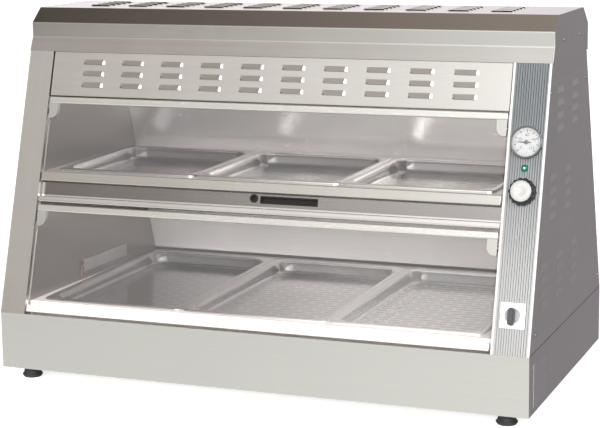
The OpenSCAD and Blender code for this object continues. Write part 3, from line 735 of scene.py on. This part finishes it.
# ---------------------------------------------------------------- Hood
# One long folded stainless cover with five rows of louvres pressed up out of its top, open towards
# the front, and a flat plate at each end. It is brushed along its length.
hood_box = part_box("hood_cover")
hood_foot = hood_box[0].z
hood_fold = [(-0.1506, 0), (-0.136, 0.031), (-0.136, 0.061), (-0.098, 0.092), (0.116, 0.092), (0.161, 0.057),
             (0.161, 0)]
hood_path = fold(hood_fold, 0.0025)
hood_marks = lengths(hood_path)
top_columns = 11
top_pitch = 0.092
last_in_front = max(i for i, p in enumerate(hood_path) if p.x < 0)
top_start = hood_marks[last_in_front] - hood_path[last_in_front].x
top_middles = middles(top_columns, top_pitch)
top_spans = [(x - louvre_l / 2, x + louvre_l / 2) for x in top_middles]
top_rows = [(top_start + y, top_start + y + louvre_h) for y in (-0.038, -0.012, 0.014, 0.040, 0.066)]


def on_hood(u, v, up):
    point, normal = along(hood_path, hood_marks, v)
    return Vector((u, point.x + normal.x * up, hood_foot + point.y + normal.y * up))


hood_sheet = pressed_sheet(
    [(x, row) for x in top_middles for row, end in top_rows],
    cut_lines((hood_box[0].x, hood_box[1].x), top_spans, 3, True),
    sorted(set(cut_lines((0, hood_marks[-1]), top_rows, 6)) | {round(m, 6) for m in hood_marks}), on_hood)
hood_steel = brushed("hood_satin_steel", steel_tone, (1.2, 1000, 1000), rough=0.21)
hood = hood_sheet.finished("louvred_hood", hood_steel, "cabinet", "satin_steel", ["hood_cover"], crease=14)
thick(hood, 0.0014)
keep_flats(hood)
dress(side_steel, "hood_ends")
screw_steel = brushed("screw_steel", (0.4, 0.39, 0.38), (300, 300, 300), rough=0.35)
dress(screw_steel, "panel_screws", ease=0.0004)


# ---------------------------------------------------------------- Doors
# Each door is a sheet of float glass between two bright folded rails, and hangs on pins through
# rounded plates at its top corners. The pins run in plastic bushes in the post and the strip.
rail_steel = brushed("door_rail_steel", (0.84, 0.83, 0.81), (1.5, 900, 900), rough=0.24)
rail_steel.feed({"Metallic": 0.95})
plate_steel = brushed("hinge_plate_steel", (0.66, 0.66, 0.64), (300, 300, 300), rough=0.4)
for door in ("upper_door", "lower_door"):
    dress(rail_steel, door + "_top_rail", ease=0.0007)
    dress(plate_steel, door + "_hinge_plates", ease=0.0007)
    dress(plated, door + "_pins", ease=0.0003)
tray_rail_steel = brushed("tray_rail_steel", (0.72, 0.7, 0.68), (1.5, 900, 900), rough=0.26)
dress(tray_rail_steel, "upper_door_bottom_rail", ease=0.0007)
# The lower door's bottom rail keeps only half its metal so that it shows bright under the lamps: a painted
# highlight.
sill_steel = brushed("sill_steel", (0.86, 0.84, 0.82), (1.5, 900, 900), rough=0.3)
sill_steel.feed({"Metallic": 0.5})
dress(sill_steel, "lower_door_bottom_rail", ease=0.0007)
dress(moulded("bush_plastic", (0.08, 0.08, 0.085), 0.45), "hinge_bushes")

glass = Finish("door_glass", roughness=0.03, ior=1.5, base_color=(0.82, 0.81, 0.82))
smear = glass.noise(glass.stretched(glass.place(), (4, 12, 12)), 1, 4, 0.6).fade(0.5, 0.8)
facing = glass.node("LayerWeight", sockets={"Blend": 0.5}, out="Facing")
glass.feed({"Roughness": 0.02 + smear * 0.08})
glass.over_clear(0.035 + smear * 0.02 + facing ** 4 * 0.5)
dress(glass, "upper_door_glass", "lower_door_glass")


# ---------------------------------------------------------------- Pans
# Six full-width pans, pressed in one piece: a rolled rim that sits over the well, a wide flat
# flange at the corners, drafted walls and a floor with soft corners. The floors carry painted
# reflections, and the walls painted shade.
pan_gauge = 0.001
rim_w = 0.012
rim_corner = 0.014
well_corner = 0.040
corner_steps = 8
low_floor_z = 0.1455
tier_rise = 0.271
tier_change = (0.38, 0.39)
pan_rows = [(0, rim_corner, -0.003), (0, rim_corner, -0.0018), (0.0005, rim_corner, -0.0006),
            (0.0016, rim_corner, 0), (0.0060, 0.026, -0.0001), (0.0102, 0.038, -0.0003),
            (rim_w, well_corner, -0.0010), (0.0131, well_corner, -0.0028), (0.0150, 0.0385, -0.0200),
            (0.0165, 0.0375, -0.0252), (0.0200, 0.035, -0.0280), (0.0260, 0.031, -0.0288)]


def pan_loop(middle_point, size, inset, radius, z):
    loop = []
    for k, (sx, sy) in enumerate(((1, 1), (-1, 1), (-1, -1), (1, -1))):
        for i in range(corner_steps + 1):
            a = math.pi / 2 * (k + i / corner_steps)
            x = sx * (size.x / 2 - inset - radius) + radius * math.cos(a)
            y = sy * (size.y / 2 - inset - radius) + radius * math.sin(a)
            loop.append(middle_point + Vector((x, y, z)))
    return loop


def pan_painted_light(steel, spot):
    """Painted light on the pans: bright broken lines over darker floors as painted reflections, painted
    shade on the rear walls, and painted shade on the left pans with painted highlight on the right.
    """
    x = steel.axis(spot, "X")
    y = steel.axis(spot, "Y")
    z = steel.axis(spot, "Z")
    upper = z.fade(*tier_change)
    over_floor = z - low_floor_z - upper * tier_rise
    dashes = steel.node("TexBrick", {"offset": 0.5}, {
        "Vector": spot, "Scale": 1, "Brick Width": 0.052, "Row Height": 0.019, "Mortar Size": 0.0045,
        "Mortar Smooth": 0.3, "Bias": 0}, "Fac")
    on_floor = over_floor.fade(0.001, 0.003, 1, 0)
    at_rear = (y + upper * 0.1).fade(0.222, 0.236)
    rear_wall = at_rear * over_floor.fade(0.001, 0.004) * over_floor.fade(0.024, 0.026, 1, 0)
    return x.fade(-0.45, 0.2, 0.56, 1.15) * (1 - on_floor * (0.3 - dashes * 0.3)) * (1 - rear_wall * 0.75)


pan_steel = brushed("pan_steel", (0.86, 0.85, 0.84), (6, 420, 420), rough=0.17, streak=0.1, painted_shading=pan_painted_light)
# Painted highlight: the right pans, the lower one most, lose part of their metal so they show brighter under
# the lamps.
pan_spot = pan_steel.place()
pan_right = pan_steel.axis(pan_spot, "X").fade(-0.1, 0.35)
pan_low = pan_steel.axis(pan_spot, "Z").fade(0.2, 0.3, 0.45, 0.05)
pan_steel.feed({"Metallic": 1 - pan_right * pan_low})
for tier in ("upper", "lower"):
    for place_name in ("left", "centre", "right"):
        node = f"{tier}_pan_{place_name}"
        low_corner, high_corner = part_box(node)
        size = high_corner - low_corner
        top = (low_corner + high_corner) / 2
        top.z = high_corner.z
        pan = Shape().skin([pan_loop(top, size, *row) for row in reversed(pan_rows)], first_cap=True)
        piece = pan.finished(f"{node}_pressed", pan_steel, f"{node}_body", "pan_steel", [node], crease=60)
        thick(piece, pan_gauge)


# ---------------------------------------------------------------- Thermometer
# A bimetal dial in a chromed case: a white face printed with a scale, a black needle and a flat
# glass that the rolled bezel holds.
dial_up = 0.418
# The chrome is given a dark colour, well below real chrome's, so the case shows dark: painted shade.
chrome = Finish("bezel_chrome", metallic=1)
chrome_cloud = chrome.noise(chrome.place(), 120, 2)
chrome.feed({"Base Color": chrome.mix((0.16, 0.16, 0.17), (0.26, 0.26, 0.26), chrome_cloud),
             "Roughness": 0.12 + chrome_cloud * 0.1})
dress(chrome, "thermometer_case", ease=0.001, steps=3)
# The white face is coloured a mid grey, darker than its own white, against the strong lamps: painted shade.
dial_white = moulded("dial_face", (0.36, 0.37, 0.37), 0.6, spread=0.05)
dress(dial_white, "thermometer_dial")
needle_paint = moulded("needle_paint", (0.02, 0.02, 0.02), 0.35)
dress(needle_paint, "thermometer_needle")
crystal = Finish("dial_window", roughness=0.04, base_color=(0.9, 0.92, 0.92))
crystal_smear = crystal.noise(crystal.place(), 90, 3)
crystal.feed({"Roughness": 0.02 + crystal_smear * 0.05})
crystal.over_clear(0.05 + crystal_smear * 0.02)
dress(crystal, "thermometer_glass")


scale_end = 0.0265
figure_r = 0.0152
figure_h = 0.0085


def scale_turn(share):
    """The angle at a share of the way along the scale, which runs clockwise from the lower left."""
    return math.radians(225 - 270 * share)


def at_control(rise):
    """Places points on the strip's face about the middle of a control."""
    return lambda x, up, out: on_front(control_x + x, rise + up, out)


dial_ink = moulded("dial_ink", (0.05, 0.05, 0.055), 0.5)
marks = Shape()
on_dial = at_control(dial_up)
ink_out = 0.0021
for k in range(41):
    radial = Vector((math.cos(scale_turn(k / 40)), math.sin(scale_turn(k / 40))))
    numbered = k % 5 == 0
    aside = Vector((-radial.y, radial.x)) * (0.0009 if numbered else 0.0004)
    inner = radial * (0.0205 if numbered else 0.0232)
    outer = radial * scale_end
    corners = [inner - aside, outer - aside, outer + aside, inner + aside]
    marks.skin([[on_dial(c.x, c.y, ink_out) for c in corners],
                [on_dial(c.x, c.y, ink_out + 0.0001) for c in corners]], last_cap=True)
for k, figure in enumerate(("0", "30", "60", "90", "120")):
    figure_turn = scale_turn(k / 4)
    text = bpy.data.curves.new("dial_figure", "FONT")
    text.body = figure
    text.size = figure_h
    text.align_x = "CENTER"
    text.align_y = "CENTER"
    holder = bpy.data.objects.new("dial_figure", text)
    flat = bpy.data.meshes.new_from_object(holder)
    start = len(marks.points)
    for vertex in flat.vertices:
        marks.points.append(on_dial(vertex.co.x + figure_r * math.cos(figure_turn),
                                    vertex.co.y + figure_r * math.sin(figure_turn), ink_out))
    marks.faces.extend(tuple(start + i for i in face.vertices) for face in flat.polygons)
    bpy.data.objects.remove(holder)
    bpy.data.curves.remove(text)
    bpy.data.meshes.remove(flat)
marks.finished("dial_scale", dial_ink, "cabinet", "dial_face")
Shape().turned([(0.0043, 0.0037), (0.0043, 0.0043), (0.0036, 0.0046)], on_dial).finished(
    "needle_hub", needle_paint, "thermometer_pointer", "needle_paint")


# ---------------------------------------------------------------- Pilot lamp
# A small neon lamp: a domed green lens snapped into a dark green bezel.
lamp_up = 0.367
on_lamp = at_control(lamp_up)
bezel_green = moulded("lamp_bezel_green", (0.01, 0.07, 0.045), 0.25)
lens_green = Finish("lamp_lens_green", roughness=0.08, coat_weight=0.6)
lens_cloud = lens_green.noise(lens_green.place(), 260, 2)
# The pale spot at the top of the lens is a painted highlight.
lens_axis = lens_green.node("VectorMath", {"operation": "DISTANCE"},
                            {0: lens_green.place(), 1: on_lamp(0, 0, 0.0045)}, "Value")
lens_body = lens_green.mix((0.02, 0.2, 0.12), (0.06, 0.3, 0.2), lens_cloud)
lens_green.feed({"Base Color": lens_green.mix((0.85, 0.95, 0.9), lens_body, lens_axis.fade(0.0009, 0.0017))})
Shape().turned([(0.0039, -0.027), (0.0039, 0), (0.0068, 0.0002), (0.007, 0.0009), (0.0066, 0.0017),
                (0.0058, 0.002), (0.0050, 0.0016), (0.0046, 0.0010)], on_lamp).finished(
    "lamp_bezel", bezel_green, "cabinet", "lamp_green", ["pilot_lamp"])
lens_rows = [(0.0045 * math.cos(a), 0.0012 + 0.0033 * math.sin(a))
             for a in (math.pi / 2 * i / 8 for i in range(8))]
Shape().turned([(0.0045, 0.0006)] + lens_rows + [(0.0003, 0.0045)], on_lamp).finished(
    "lamp_lens", lens_green, "cabinet", "lamp_green", ["pilot_lamp"])


# ---------------------------------------------------------------- Thermostat
# Behind the strip is the thermostat's case, and its plated shaft carries a black knob with a
# scalloped grip. A satin disc is let into the top of the knob.
knob_up = 0.320
on_knob = at_control(knob_up)
case_grey = moulded("control_case", (0.13, 0.13, 0.14), 0.5)
dress(case_grey, "thermostat_body", "switch_body", ease=0.001)
dress(plated, "thermostat_shaft")
knob_black = moulded("knob_plastic", (0.018, 0.018, 0.02), 0.35)
knob_rows = [(0.0262, 0.001), (0.0276, 0.0014), (0.028, 0.0024), (0.0278, 0.0070), (0.0268, 0.0082),
             (0.0256, 0.0088), (0.0250, 0.0105), (0.0245, 0.0135), (0.0240, 0.0152), (0.0231, 0.016),
             (0.0218, 0.0161, 1), (0.0212, 0.0157, 1), (0.0211, 0.0145, 1)]
Shape().turned(knob_rows, on_knob, steps=196, waves=14, wave_depth=0.0022).finished(
    "scalloped_knob", knob_black, "thermostat_dial", "knob_plastic", ["thermostat_knob"])
disc_silver = Finish("knob_disc", metallic=0.25, roughness=0.35)
spin = disc_silver.noise(disc_silver.place(), 140, 3)
disc_silver.feed({"Base Color": disc_silver.mix((0.38, 0.38, 0.38), (0.5, 0.5, 0.5), spin),
                  "Roughness": 0.3 + spin * 0.15})
Shape().turned([(0.0209, 0.0142), (0.0209, 0.0176), (0.0204, 0.0181), (0.0194, 0.0183), (0.0190, 0.0190),
                (0.0185, 0.0197), (0.0174, 0.02), (0.0080, 0.0199), (0.0072, 0.0195), (0.0010, 0.0195)],
               on_knob).finished(
    "knob_disc_plate", disc_silver, "thermostat_dial", "knob_disc", ["knob_cap"])


# ---------------------------------------------------------------- Switch
# A rotary switch: a white square plate on the strip, a grey round boss and a dark bar handle.
switch_up = 0.078
on_switch = at_control(switch_up)
dress(moulded("switch_white", (0.82, 0.82, 0.8), 0.4, spread=0.04), "switch_plate", ease=0.0007, steps=3)
boss_grey = moulded("switch_boss_grey", (0.3, 0.31, 0.33), 0.4)
Shape().turned([(0.0035, -0.017), (0.0035, 0.0022), (0.0146, 0.0023), (0.015, 0.0028), (0.015, 0.0068),
                (0.0146, 0.0077), (0.0136, 0.008)], on_switch).finished(
    "switch_boss", boss_grey, "switch_handle", "switch_grey", ["switch_lever"])
handle_dark = moulded("switch_handle_grey", (0.05, 0.052, 0.058), 0.38)
handle = Shape()
handle_rows = []
for shrink, out in ((0, 0.0075), (0, 0.019), (0.0006, 0.0208), (0.0018, 0.022)):
    half_w = 0.0062 - shrink
    row = []
    for end, low_end in ((-0.020 + shrink, -1), (0.015 - shrink, 1)):
        for i in range(9):
            a = math.pi * i / 8 + (math.pi if low_end < 0 else 0)
            row.append(on_switch(half_w * math.cos(a), end - low_end * half_w + half_w * math.sin(a), out))
    handle_rows.append(row)
handle.skin(handle_rows, first_cap=True, last_cap=True)
handle.finished("switch_bar", handle_dark, "switch_handle", "switch_grey", ["switch_lever"])
